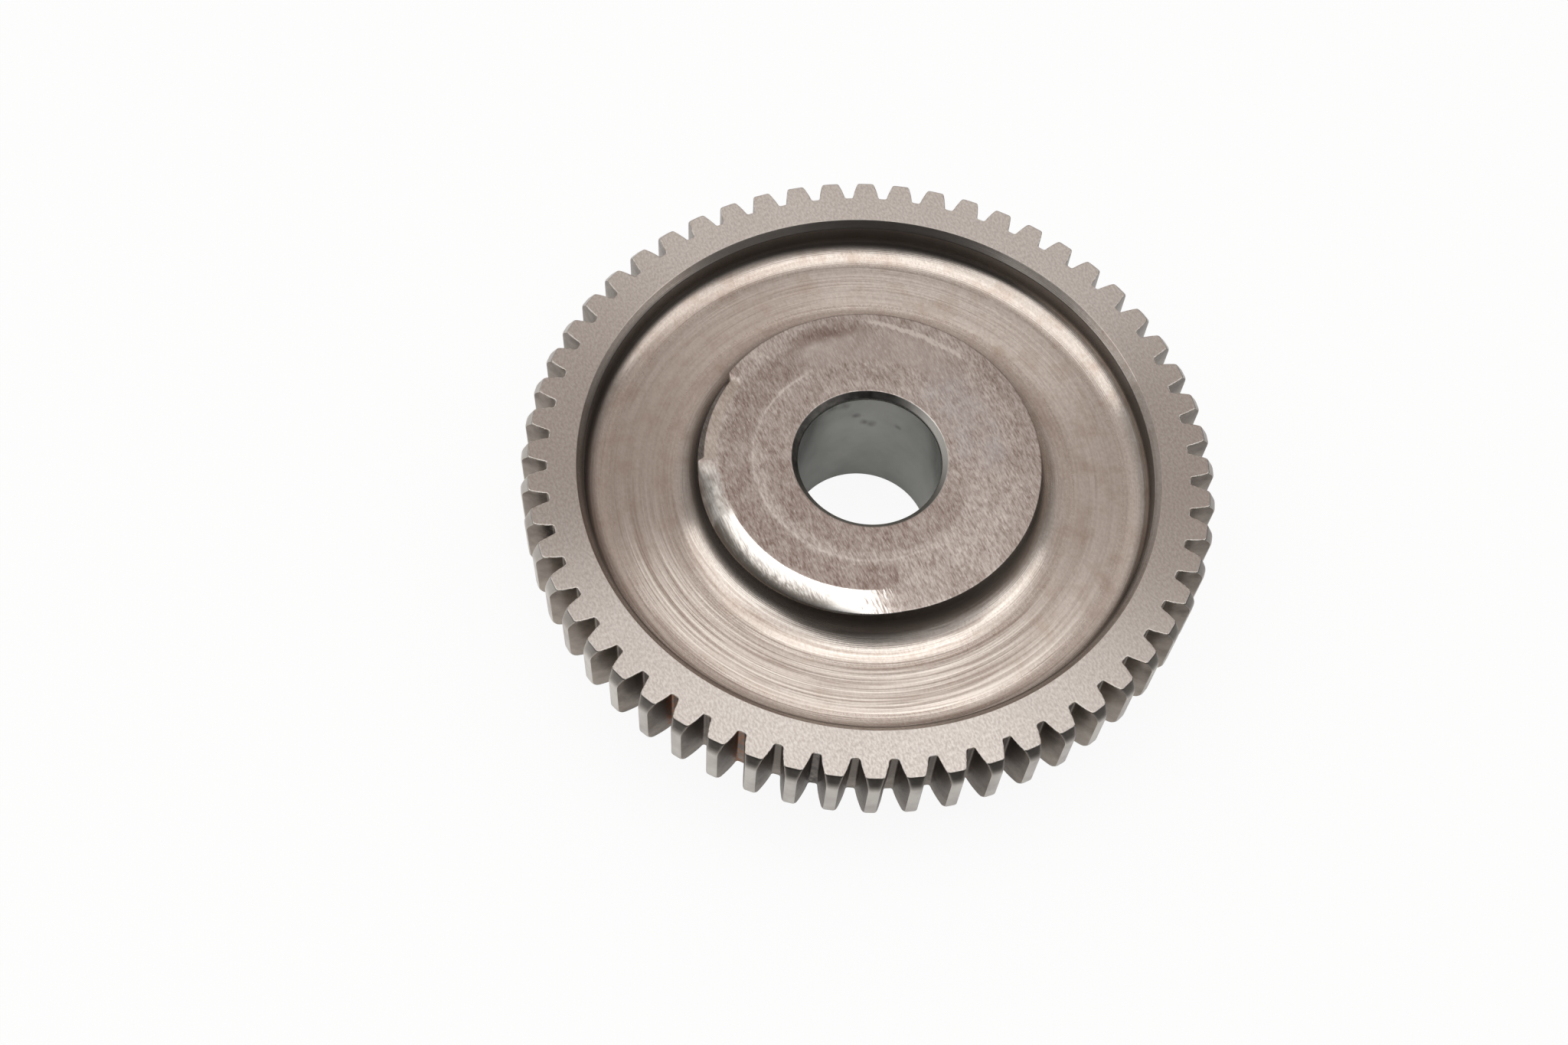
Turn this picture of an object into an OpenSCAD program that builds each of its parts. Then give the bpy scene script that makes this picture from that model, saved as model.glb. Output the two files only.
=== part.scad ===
// Starter gear: a spur gear turned from one steel blank, with a recessed web on the open side,
// a plain hub flush with the rim, a through bore for its shaft and a plain boss on the hidden side.
// +Z runs up the bore, a tooth is centred on +X, and the boss end stands on Z = 0. Sizes are in mm.

/* [Teeth] */
// Number of teeth
teeth = 56; // [50:1:64]
// Pitch diameter for each tooth
tooth_module = 1.5; // [1.3:0.05:1.75]
// Pressure angle of the involute flanks, in degrees
pressure_angle = 20; // [18:0.5:22.5]
// Height of the tips over the pitch circle, in modules
addendum = 1; // [0.9:0.05:1.1]
// Depth of the roots under the pitch circle, in modules
dedendum = 1.25; // [1.15:0.05:1.35]
// Radius of the round at each side of a root, in modules
root_fillet = 0.2; // [0.1:0.02:0.26]
// Thickness that each flank has over the nominal tooth at the pitch circle
flank_extra = 0.09; // [0:0.01:0.12]
// Face width of the rim and its teeth
face_width = 9.7; // [8:0.1:13]
// Radial size of the bevel that tops each tooth tip
tip_bevel = 1; // [0.5:0.1:1.4]
// Height of the tip bevel on the open side
tip_bevel_top = 1.4; // [0.5:0.1:2]
// Height of the tip bevel on the hidden side
tip_bevel_bottom = 0.85; // [0.4:0.05:1.5]

/* [Rim and web] */
// Thickness of the rim between the roots and the recess
rim_wall = 3.6; // [3:0.1:5]
// Depth of the recess under the rim face
recess_depth = 5; // [3.8:0.1:6.5]
// Bevel around the mouth of the recess
recess_bevel = 0.85; // [0.3:0.05:1.1]
// Radius of the rounds at both sides of the recess floor
web_fillet = 3; // [1:0.1:3.5]

/* [Hub, bore and boss] */
// Diameter of the through bore
bore_diameter = 18; // [14:0.5:20]
// Wall of the hub and boss around the bore
hub_wall = 12.5; // [10:0.1:14]
// Bevel at both ends of the bore
bore_bevel = 0.8; // [0.3:0.1:1.5]
// Height from the boss end to the hub face
total_height = 20.8; // [15:0.1:30]
// Bevel around the end of the boss
boss_bevel = 0.8; // [0.3:0.1:2]
// Radius of the round where the boss meets the back of the web
boss_fillet = 1.2; // [0.4:0.1:2.5]

/* [Hub edge marks] */
// Angle where the notch in the hub edge starts, in degrees from +X
notch_start = 153.6; // [120:0.1:170]
// Angle that the notch takes up
notch_sweep = 35; // [20:1:50]
// How far the notch cuts into the hub edge
notch_cut = 0.7; // [0.3:0.1:1.2]
// Height of the notch
notch_height = 1.9; // [1:0.1:3]
// Width of the worn strip beside the notch
strip_width = 1.6; // [0.8:0.1:2.5]
// Drop of the worn strip at the notch
strip_drop = 0.3; // [0.1:0.05:0.6]
// Angle that the ground bevel takes up after the notch
ground_sweep = 99; // [60:1:120]
// Width of the ground bevel where it starts
ground_width = 2.7; // [1.5:0.1:4]
// Share by which the ground bevel widens as it runs out
ground_spread = 0.22; // [0:0.02:0.4]
// Depth of the ground bevel where it starts
ground_depth = 2; // [0.8:0.1:2.4]
// Power that shapes the run-out of the ground bevel
ground_fade = 2.5; // [1:0.1:4]

/* [Hidden] */
pitch_radius = teeth * tooth_module / 2;
base_radius = pitch_radius * cos(pressure_angle);
tip_radius = pitch_radius + addendum * tooth_module;
root_radius = pitch_radius - dedendum * tooth_module;
fillet_radius = root_fillet * tooth_module;
half_pitch_angle = 180 / teeth;
recess_radius = root_radius - rim_wall;
wall_radius = recess_radius - recess_bevel;
bore_radius = bore_diameter / 2;
hub_radius = bore_radius + hub_wall;
back_height = total_height - face_width;
floor_height = total_height - recess_depth;
radians = 180 / PI;
// Cutters reach this far past the surface that they cut
overcut = 0.6;
flank_steps = 7;
fillet_steps = 4;
ground_steps = 22;
// The ground bevel leaves the hub face a little before its last station
ground_lift = 0.04;
notch_end = notch_start + notch_sweep;
steel = [0.62, 0.59, 0.56];
$fn = 96;

// Involute function of an angle, in degrees
function involute(a) = tan(a) * radians - a;

// Pressure angle on the flank at radius r
function flank_angle(r) = acos(base_radius / r);

// Half angle of a tooth on the pitch circle
tooth_half_angle = half_pitch_angle / 2 + flank_extra / pitch_radius * radians;

// Half angle of a tooth space at radius r
function space_angle(r) =
    half_pitch_angle - tooth_half_angle - involute(pressure_angle) + involute(flank_angle(r));

// Point at radius r and angle a
function polar(r, a) = [r * cos(a), r * sin(a)];

// The round at the root: its centre lies on the flank's involute, turned by the radius of the round
fillet_centre_radius = root_radius + fillet_radius;
fillet_centre_angle = space_angle(fillet_centre_radius) - fillet_radius / base_radius * radians;
fillet_centre = polar(fillet_centre_radius, fillet_centre_angle);
touch_angle = atan(tan(flank_angle(fillet_centre_radius)) - fillet_radius / base_radius);
touch_radius = base_radius / cos(touch_angle);
fillet_from = 180 + fillet_centre_angle;
fillet_to = 90 + space_angle(touch_radius) + touch_angle;
outer_radius = tip_radius + overcut;

// One side of a tooth space, from the root out past the tip
function space_side() = concat(
    [for (i = [0 : fillet_steps])
        fillet_centre + polar(fillet_radius, fillet_from + (fillet_to - fillet_from) * i / fillet_steps)],
    [for (i = [1 : flank_steps])
        let (r = touch_radius + (outer_radius - touch_radius) * i / flank_steps)
            polar(r, space_angle(r))]
);

// Outline of a tooth space: one side and its mirror image
function space_outline() =
    let (side = space_side(), n = len(side))
        concat(side, [for (i = [n - 1 : -1 : 0]) [side[i][0], -side[i][1]]]);

module tooth_space() {
    translate([0, 0, back_height - overcut])
        linear_extrude(height = face_width + 2 * overcut)
            polygon(space_outline());
}

// Half section of the turned blank, without the recess and the round of the boss
module blank_section() {
    polygon([
        [bore_radius, bore_bevel],
        [bore_radius + bore_bevel, 0],
        [hub_radius - boss_bevel, 0],
        [hub_radius, boss_bevel],
        [hub_radius, back_height],
        [tip_radius - tip_bevel, back_height],
        [tip_radius, back_height + tip_bevel_bottom],
        [tip_radius, total_height - tip_bevel_top],
        [tip_radius - tip_bevel, total_height],
        [bore_radius + bore_bevel, total_height],
        [bore_radius, total_height - bore_bevel]
    ]);
}

// Half section of the recess: a slot with a round in each corner of its floor and a bevelled mouth
module recess_section() {
    round_height = floor_height + web_fillet;
    translate([hub_radius + web_fillet, floor_height])
        square([wall_radius - hub_radius - 2 * web_fillet, recess_depth + overcut]);
    translate([hub_radius, round_height])
        square([wall_radius - hub_radius, recess_depth - web_fillet + overcut]);
    for (x = [hub_radius + web_fillet, wall_radius - web_fillet])
        translate([x, round_height])
            circle(r = web_fillet);
    polygon([
        [wall_radius - overcut, total_height - recess_bevel - overcut],
        [recess_radius + overcut, total_height + overcut],
        [wall_radius - overcut, total_height + overcut]
    ]);
}

// Half section of the round that joins the boss to the back of the web
module boss_round_section() {
    difference() {
        translate([hub_radius - overcut, back_height - boss_fillet])
            square(boss_fillet + overcut);
        translate([hub_radius + boss_fillet, back_height - boss_fillet])
            circle(r = boss_fillet);
    }
}

module blank() {
    rotate_extrude() {
        difference() {
            union() {
                blank_section();
                boss_round_section();
            }
            recess_section();
        }
    }
}

// Notch in the hub edge, with the worn strip beside it
module notch() {
    edge = hub_radius - notch_cut;
    slope = strip_drop / strip_width;
    rotate([0, 0, notch_start])
        rotate_extrude(angle = notch_sweep)
            polygon([
                [edge - strip_width - overcut, total_height + slope * overcut],
                [edge, total_height - strip_drop],
                [edge, total_height - notch_height],
                [hub_radius + overcut, total_height - notch_height],
                [hub_radius + overcut, total_height + 2 * overcut],
                [edge - strip_width - overcut, total_height + 2 * overcut]
            ]);
}

// Depth and width of the ground bevel at share s of its sweep
function ground_depth_at(s) = ground_depth * (1 - pow(s, ground_fade)) - ground_lift;
function ground_width_at(s) = ground_width * (1 + ground_spread * pow(s, 3));

// Section of the ground bevel's cutter at share s: two points on the slope and two over the hub face
function ground_section(s) =
    let (
        a = notch_end + ground_sweep * s,
        slope = ground_depth_at(s) / ground_width_at(s),
        inner = hub_radius - ground_width_at(s) - overcut,
        outer = hub_radius + overcut,
        inner_z = total_height + max(slope, 0) * overcut,
        outer_z = total_height - ground_depth_at(s) - slope * overcut,
        lid = total_height + 2 * ground_depth
    )
        [
            [inner * cos(a), inner * sin(a), inner_z],
            [outer * cos(a), outer * sin(a), outer_z],
            [outer * cos(a), outer * sin(a), lid],
            [inner * cos(a), inner * sin(a), lid]
        ];

module ground_bevel() {
    points = [for (i = [0 : ground_steps]) for (p = ground_section(i / ground_steps)) p];
    last = 4 * ground_steps;
    sides = [
        for (i = [0 : ground_steps - 1])
            for (k = [0 : 3])
                let (a = 4 * i + k, b = 4 * i + (k + 1) % 4)
                    each [[a, b, b + 4], [a, b + 4, a + 4]]
    ];
    ends = [[0, 2, 1], [0, 3, 2], [last, last + 1, last + 2], [last, last + 2, last + 3]];
    polyhedron(points = points, faces = concat(sides, ends));
}

module starter_gear() {
    color(steel)
        difference() {
            blank();
            for (i = [0 : teeth - 1])
                rotate([0, 0, (i + 0.5) * 2 * half_pitch_angle])
                    tooth_space();
            notch();
            ground_bevel();
        }
}

starter_gear();
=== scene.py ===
"""Starter gear: the visible surface of a turned and hobbed spur gear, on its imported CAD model.

The gear is one steel piece, so it is one mesh: a grid around the teeth and a grid around the web, hub,
bore and boss, joined on the flat faces of the rim. Both are worked out with numpy in millimetres.
Angles run from +X, where a tooth is centred, and +Z runs up the bore.
"""

import math
from functools import partial
from types import SimpleNamespace

import bpy
import numpy as np
from mathutils import Matrix, Vector


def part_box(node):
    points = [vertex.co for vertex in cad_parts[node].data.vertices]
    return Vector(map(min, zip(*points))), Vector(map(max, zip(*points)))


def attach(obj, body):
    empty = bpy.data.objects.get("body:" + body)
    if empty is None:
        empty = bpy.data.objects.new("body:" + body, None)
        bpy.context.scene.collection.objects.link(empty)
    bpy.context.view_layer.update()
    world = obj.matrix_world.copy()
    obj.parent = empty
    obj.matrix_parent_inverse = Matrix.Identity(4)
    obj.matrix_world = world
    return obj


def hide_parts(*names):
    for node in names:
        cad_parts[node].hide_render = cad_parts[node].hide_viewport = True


bl_info = {
    "name": "Starter gear",
    "version": (1, 0, 0),
    "blender": (4, 5, 0),
    "location": "3D View > Sidebar > Gear",
    "description": "Dresses the packed starter gear in turned, hobbed and worn steel",
    "category": "Object",
}

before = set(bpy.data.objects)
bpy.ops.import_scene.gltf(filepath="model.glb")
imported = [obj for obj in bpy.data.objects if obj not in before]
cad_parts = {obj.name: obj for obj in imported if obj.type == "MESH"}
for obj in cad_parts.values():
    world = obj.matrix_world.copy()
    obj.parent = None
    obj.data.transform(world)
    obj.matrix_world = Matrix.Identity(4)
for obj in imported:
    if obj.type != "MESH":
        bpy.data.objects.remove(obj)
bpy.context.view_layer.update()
NODE = "starter_gear"
_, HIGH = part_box(NODE)
MM = 0.001


def length(name, description, millimetres):
    """A length property whose default is given in millimetres."""
    return bpy.props.FloatProperty(
        name=name, description=description, default=millimetres * MM, unit="LENGTH", precision=5
    )


def angle(name, description, degrees):
    """An angle property whose default is given in degrees."""
    return bpy.props.FloatProperty(
        name=name, description=description, default=math.radians(degrees), subtype="ANGLE"
    )


def linear(code):
    """Linear colour of an sRGB hex value."""
    srgb = np.array([int(code[i:i + 2], 16) for i in (1, 3, 5)]) / 255
    rgb = np.where(srgb <= 0.04045, srgb / 12.92, ((srgb + 0.055) / 1.055) ** 2.4)
    return [float(v) for v in rgb]


def colour(name, description, code):
    """A colour property whose default is an sRGB hex value."""
    return bpy.props.FloatVectorProperty(
        name=name, description=description, default=linear(code), subtype="COLOR", min=0, max=1
    )


class GearSizes(bpy.types.PropertyGroup):
    """Sizes of the gear, as in the part's source."""

    teeth: bpy.props.IntProperty(name="Teeth", description="Number of teeth", default=56, min=20)
    tooth_module: length("Module", "Pitch diameter for each tooth", 1.5)
    pressure_angle: angle("Pressure angle", "Pressure angle of the involute flanks", 20)
    flank_extra: length("Flank extra", "Thickness over the nominal tooth, on each flank", 0.09)
    root_round: length("Root round", "Radius at each side of a root", 0.3)
    tip_radius: length("Tip radius", "Radius of the tooth tips", HIGH.x / MM)
    top: length("Top", "Height of the rim and hub faces", HIGH.z / MM)
    face_width: length("Face width", "Width of the rim and its teeth", 9.7)
    tip_bevel: length("Tip bevel", "Radial size of the bevel on the tooth tips", 1.0)
    tip_bevel_top: length("Upper tip bevel", "Height of the tip bevel on the open side", 1.4)
    tip_bevel_bottom: length("Lower tip bevel", "Height of the tip bevel on the hidden side", 0.85)
    rim_wall: length("Rim wall", "Rim between the roots and the recess", 3.6)
    recess_depth: length("Recess depth", "Depth of the recess under the rim face", 5.0)
    recess_bevel: length("Recess bevel", "Bevel around the mouth of the recess", 0.85)
    rim_round: length("Rim round", "Height of the round at the rim side of the recess floor", 2.1)
    rim_round_width: length("Rim round width", "Width of the round at the rim side of the floor", 3.2)
    hub_round: length("Hub round", "Height of the round at the hub side of the recess floor", 3.6)
    hub_round_width: length("Hub round width", "Width of the round at the hub side of the floor", 4.1)
    bore_radius: length("Bore radius", "Radius of the through bore", 9.0)
    bore_bevel: length("Bore bevel", "Bevel at both ends of the bore", 0.8)
    hub_radius: length("Hub radius", "Radius of the hub and boss", 21.5)
    boss_bevel: length("Boss bevel", "Bevel around the end of the boss", 0.8)
    boss_round: length("Boss round", "Radius where the boss meets the back", 1.2)


class HubMarks(bpy.types.PropertyGroup):
    """The notch and the ground bevel on the hub edge."""

    notch_start: angle("Notch start", "Angle where the notch starts", 153.6)
    notch_sweep: angle("Notch sweep", "Angle that the notch takes up", 35)
    notch_cut: length("Notch cut", "How far the notch cuts into the edge", 0.7)
    notch_height: length("Notch height", "Height of the notch", 1.85)
    strip_width: length("Strip width", "Width of the worn strip beside the notch", 1.6)
    strip_drop: length("Strip drop", "Drop of the worn strip at the notch", 0.3)
    ground_sweep: angle("Ground sweep", "Angle that the ground bevel takes up", 99)
    ground_width: length("Ground width", "Width of the ground bevel where it starts", 2.7)
    ground_drop: length("Ground drop", "Drop of the ground bevel where it starts", 2.0)
    ground_ease: angle("Ground ease", "Angle over which the ground bevel sinks to its drop", 8)


class GearColours(bpy.types.PropertyGroup):
    """Colours of the bare steel, as it looks on each kind of machined surface."""

    rim: colour("Rim", "Fine turned rim face", "#CDC8C2")
    rim_dark: colour("Rim, dark grain", "Dark grain and thin oil film of the rim face", "#AEA59F")
    web: colour("Web", "Turned recess floor", "#D8CFC6")
    # the dark ring colour also gives the painted shade on the left and right of the rim face and on the
    # left of the recess floor
    web_dark: colour("Web, dark rings", "Thin oil film in the turned rings", "#8D7D73")
    web_stain: colour("Web stain", "Brown stain on the recess floor", "#9C8472")
    # the recess wall colour is painted shade, laid on the walls of the recess, its back bevel and the back
    # of the bore bevel
    wall: colour("Recess wall", "Dark oil on the walls of the recess", "#5C5956")
    hub: colour("Hub", "Worn hub face", "#C7BFB8")
    hub_dark: colour("Hub, dark grain", "Brown stain in the grain of the hub face", "#7A6961")
    hub_cool: colour("Hub, rubbed", "Cool grey rub on the hub face", "#A9A4A8")
    strip: colour("Strip", "Worn strip beside the notch", "#B6A89A")
    ground: colour("Ground bevel", "Bright ground steel", "#DED9D3")
    bore: colour("Bore", "Honed bore", "#B9BAB7")
    bore_smudge: colour("Bore smudge", "Dark smudges in the bore", "#6E6E6C")
    flank: colour("Flank", "Hobbed tooth flanks", "#B0A69B")
    # the flank film colour is also the painted shade on the flanks in front
    flank_dark: colour("Flank film", "Brown oil film on the flanks", "#5E534A")
    tip: colour("Tip", "Turned tooth tips", "#D6D1CA")
    # the tip bevel colour is a film on all the bevels, and the painted shade on the tips and bevels in
    # front
    tip_bevel: colour("Tip bevel", "Film on the tooth tips and their bevels", "#8D8781")
    rust: colour("Rust", "Rust in a few tooth roots", "#80512F")
    grime: colour("Grime", "Dark grime in a few tooth roots", "#3A332D")
    ground_streak: colour("Bevel streaks", "Scratches of the ground bevel", "#928A82")
    floor: colour("Floor", "Studio floor", "#F4F3F1")


def millimetres(*groups):
    """The sizes of property groups as plain numbers: lengths in millimetres, angles in radians."""
    values = {}
    for group in groups:
        for name, prop in group.bl_rna.properties.items():
            if prop.type in {"INT", "FLOAT"}:
                scale = 1 / MM if prop.unit == "LENGTH" else 1
                values[name] = getattr(group, name) * scale
    return SimpleNamespace(**values)


# Points along the parts of half a tooth outline, columns of the tooth grid for one tooth, and how many
# of them meet one column of the inner grid
LAND_POINTS, CORNER_POINTS, FLANK_POINTS, ROUND_POINTS, ROOT_POINTS = 3, 2, 6, 4, 2
HALF_POINTS = LAND_POINTS + CORNER_POINTS + FLANK_POINTS + ROUND_POINTS + ROOT_POINTS
TOOTH_COLUMNS = 2 * (HALF_POINTS - 1)
JOIN = 4
# Depth of the roots under the pitch circle, in modules
DEDENDUM = 1.25
# Rounds on the edges of the teeth, in millimetres, and what the rounded lower end adds to its bevel
EDGE_ROUND = 0.12
LOWER_EDGE_ROUND = 0.26
LOWER_END_EXTRA = 0.5
CORNER_ROUND = 0.28
TIP_ROUND = 0.6
# Rounds on the edges of the boss, at the bore bevel's lower and upper edge and at the recess bevel's
BOSS_EDGE_ROUND = 0.08
BORE_ROUNDS = (0.45, 0.22)
RECESS_ROUNDS = (0.3, 0.15)
# Distance from a round of the rows that hold a flat face flat beside it
SUPPORT = 0.06
# Height of the hub wall that stays straight above its round, away from the notch, and the fall of the
# ledge under the notch
PLAIN_WALL = 1.3
LEDGE_FALL = 0.03
# Radii of the rings that join both grids, and of the plain rows of the hub face
OUTER_RING = 38.9
INNER_RING = 37.7
FACE_RINGS = (12, 16)
# Powers by which the ground bevel runs out and its crease moves in, and by how much it moves
GROUND_FADE = 2.5
GROUND_POWER = 3
GROUND_SPREAD = 0.22
# Names of the shares that the mesh holds: the ground bevel, the worn strip and the way across them
SHARES = ("ground", "strip", "across")


def involute(a):
    """Involute function of an angle in radians: its tangent less the angle."""
    return np.tan(a) - a


def gear_circles(s):
    """Pitch, base and root radius of the standard tooth."""
    pitch = s.teeth * s.tooth_module / 2
    return pitch, pitch * math.cos(s.pressure_angle), pitch - DEDENDUM * s.tooth_module


def half_tooth(s, tip, inset):
    """Radius and angle of half a tooth outline, a row for each tip radius and inset.

    From the middle of the tip to the middle of the root it is the tip circle, a corner round, the
    involute of the base circle, the root round and the root circle. An inset turns the involute by
    inset / base radius, which moves the whole flank by the inset, and widens the root round by it.
    """
    pitch, base, root = gear_circles(s)
    step = math.pi / s.teeth
    tip, inset = tip[:, None], inset[:, None]

    def half_angle(r):
        thickness = step / 2 + s.flank_extra / pitch + involute(s.pressure_angle)
        return thickness - involute(np.arccos(base / r)) - inset / base

    corner = CORNER_ROUND
    land_end = half_angle(tip) - corner / tip
    t = np.linspace(0, 1, LAND_POINTS)
    land_r, land_a = tip + 0 * t, land_end * t

    flank_top = tip - corner
    t = np.linspace(0, 1, CORNER_POINTS + 2)[1:-1]
    corner_r = tip * (1 - t * t) + flank_top * t * t
    corner_a = (
        land_end * (1 - t) ** 2 + half_angle(tip) * 2 * t * (1 - t) + half_angle(flank_top) * t * t
    )

    centre = root + s.root_round
    centre_string = math.tan(math.acos(base / centre))
    space = step / 2 - s.flank_extra / pitch - involute(s.pressure_angle) + involute(
        math.acos(base / centre))
    centre_a = space - s.root_round / base
    touch = base / np.cos(np.arctan(centre_string - (s.root_round + inset) / base))
    t = np.linspace(0, 1, FLANK_POINTS)
    flank_r = flank_top + (touch - flank_top) * t
    flank_a = half_angle(flank_r)

    t = np.linspace(0, 1, ROUND_POINTS + 1)[1:]
    start, end = math.pi / 2 + centre_a + math.atan(centre_string), math.pi + centre_a
    turn = start + (end - start) * t
    x = centre * math.cos(centre_a) + (s.root_round + inset) * np.cos(turn)
    y = centre * math.sin(centre_a) + (s.root_round + inset) * np.sin(turn)
    round_r, round_a = np.hypot(x, y), step - np.arctan2(y, x)

    t = np.linspace(0, 1, ROOT_POINTS + 1)[1:]
    root_r = root - inset + 0 * t
    root_a = step - centre_a + (centre_a + 0 * inset) * t
    radius = np.hstack([land_r, corner_r, flank_r, round_r, root_r])
    around = np.hstack([land_a, corner_a, flank_a, round_a, root_a])
    return radius, around


def tooth_rows(s):
    """Tip radius, inset and height of each row of the tooth grid, from the top face to the back.

    The tip follows the turned blank: the upper bevel, the land and a rounded lower end. The inset
    follows a quarter circle at the upper and lower edges of a flank.
    """
    back = s.top - s.face_width
    turn = np.radians([0, 30, 60, 90])
    upper = s.tip_bevel / s.tip_bevel_top
    bevel_r = s.tip_radius - s.tip_bevel
    drop, inset = EDGE_ROUND * (1 - np.cos(turn)), EDGE_ROUND * (1 - np.sin(turn))
    rows = [(bevel_r - 2 * SUPPORT, EDGE_ROUND + SUPPORT, s.top)]
    rows += [(bevel_r - inset[i] / 2 + upper * drop[i], inset[i], s.top - drop[i]) for i in range(4)]
    top_end = s.top - s.tip_bevel_top
    rows += [(bevel_r + upper * (EDGE_ROUND + SUPPORT), 0, s.top - EDGE_ROUND - SUPPORT)]
    # the bevel runs into the land along a parabola
    t = np.linspace(0, 1, 5)
    near, far = (1 - t) ** 2, t * t
    bend_r, bend_z = s.tip_radius - upper * TIP_ROUND * near, top_end + TIP_ROUND * (near - far)
    rows += [(r, 0, z) for r, z in zip(bend_r, bend_z)]
    # the lower end of a tooth is a quarter ellipse in place of its bevel
    end_height = s.tip_bevel_bottom + LOWER_END_EXTRA
    up = np.array([1.5, 1.15, 0.9, 0.65, 0.42, LOWER_EDGE_ROUND, 0.14, 0.05, 0.0])
    end_r = bevel_r + s.tip_bevel * np.sqrt(1 - np.clip(1 - up / end_height, 0, 1) ** 2)
    under = np.clip(LOWER_EDGE_ROUND - up, 0, None)
    end_inset = LOWER_EDGE_ROUND - np.sqrt(LOWER_EDGE_ROUND ** 2 - under ** 2)
    rows += zip(end_r, end_inset, back + up)
    rows += [(bevel_r - 2 * SUPPORT - LOWER_EDGE_ROUND / 2, LOWER_EDGE_ROUND + SUPPORT, back)]
    return np.array(rows).T


def tooth_grid(s):
    """Points of the tooth grid, whether each column lies on a land, and the angles of its first row.

    Each row is half a tooth, its mirror image and their copies around the axis. A flat ring on the
    rim face is the first row, and one on the back is the last.
    """
    tip, inset, height = tooth_rows(s)
    radius, around = half_tooth(s, tip, inset)
    one_r = np.hstack([radius[:, :0:-1], radius[:, :-1]])
    one_a = np.hstack([-around[:, :0:-1], around[:, :-1]])
    centres = np.arange(s.teeth) * 2 * math.pi / s.teeth
    all_r = np.tile(one_r, (1, s.teeth))
    all_a = (centres[None, :, None] + one_a[:, None, :]).reshape(len(tip), -1)
    all_z = np.repeat(height[:, None], all_r.shape[1], axis=1)
    ring = np.full((1, all_r.shape[1]), OUTER_RING)
    all_r = np.vstack([ring, all_r, ring])
    all_a = np.vstack([all_a[:1], all_a, all_a[-1:]])
    all_z = np.vstack([all_z[:1], all_z, all_z[-1:]])
    half_land = LAND_POINTS + CORNER_POINTS - 1
    middle = HALF_POINTS - 1
    column = np.arange(TOOTH_COLUMNS)
    on_land = (column >= middle - half_land) & (column < middle + half_land)
    points = np.stack([all_r * np.cos(all_a), all_r * np.sin(all_a), all_z], -1)
    return points, np.tile(on_land, s.teeth), all_a[0]


def rounded_path(points, radii, steps):
    """A path through points whose corners are arcs of the given radii.

    An arc touches both sides of its corner. A point before and after each arc, on the straight
    sides, keeps the flat faces flat in the shading.
    """
    points = np.array(points, float)
    path = [points[0]]
    for before, corner, after, radius in zip(points, points[1:], points[2:], radii):
        u, w = before - corner, after - corner
        u, w = u / np.hypot(*u), w / np.hypot(*w)
        half = math.acos(np.clip(u @ w, -1, 1)) / 2
        reach = radius / math.tan(half)
        centre = corner + (u + w) / np.hypot(*(u + w)) * radius / math.sin(half)
        first, last = corner + u * reach - centre, corner + w * reach - centre
        sweep = math.pi - 2 * half
        t = np.linspace(0, 1, steps + 1)[:, None]
        arc = centre + (np.sin((1 - t) * sweep) * first + np.sin(t * sweep) * last) / math.sin(sweep)
        path += [corner + u * (reach + SUPPORT), *arc, corner + w * (reach + SUPPORT)]
    return np.array(path + [points[-1]])


def smooth_step(x, low, high):
    """0 below low, 1 above high and a smooth cubic between them."""
    t = np.clip((x - low) / (high - low), 0, 1)
    return t * t * (3 - 2 * t)


def hub_marks(s, around):
    """Edge radius, crease radius, drop, straightness and shares of the hub edge's marks at each angle.

    The notch moves the edge in, with a short ramp at each end, and a worn strip falls to it. The ground
    bevel starts where the notch ends. Its drop runs out as 1 less the share of its sweep to one power,
    while its crease moves in with that share to another.
    """
    ramp = math.radians(1.2)
    notch_end = s.notch_start + s.notch_sweep
    notch = smooth_step(around, s.notch_start - ramp, s.notch_start + ramp) * (
        1 - smooth_step(around, notch_end - ramp, notch_end))
    share = np.clip((around - notch_end) / s.ground_sweep, 0, 1)
    left = 1 - share ** GROUND_FADE
    ground = smooth_step(around, notch_end - ramp / 2, notch_end + ramp / 2) * left
    sunk = smooth_step(around, notch_end - ramp, notch_end + s.ground_ease)
    strip = smooth_step(around, s.notch_start - ramp, s.notch_start + ramp) * (1 - sunk)
    worn_width = s.strip_width + s.notch_cut
    ground_width = s.ground_width * (1 + GROUND_SPREAD * share ** GROUND_POWER)
    width = worn_width + (ground_width - worn_width) * sunk
    edge = s.hub_radius - s.notch_cut * notch
    crease = s.hub_radius - width
    drop = s.strip_drop * strip + s.ground_drop * sunk * left
    return edge, crease, drop, 0.5 + 0.5 * (1 - sunk), (ground, strip * (ground == 0))


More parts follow.
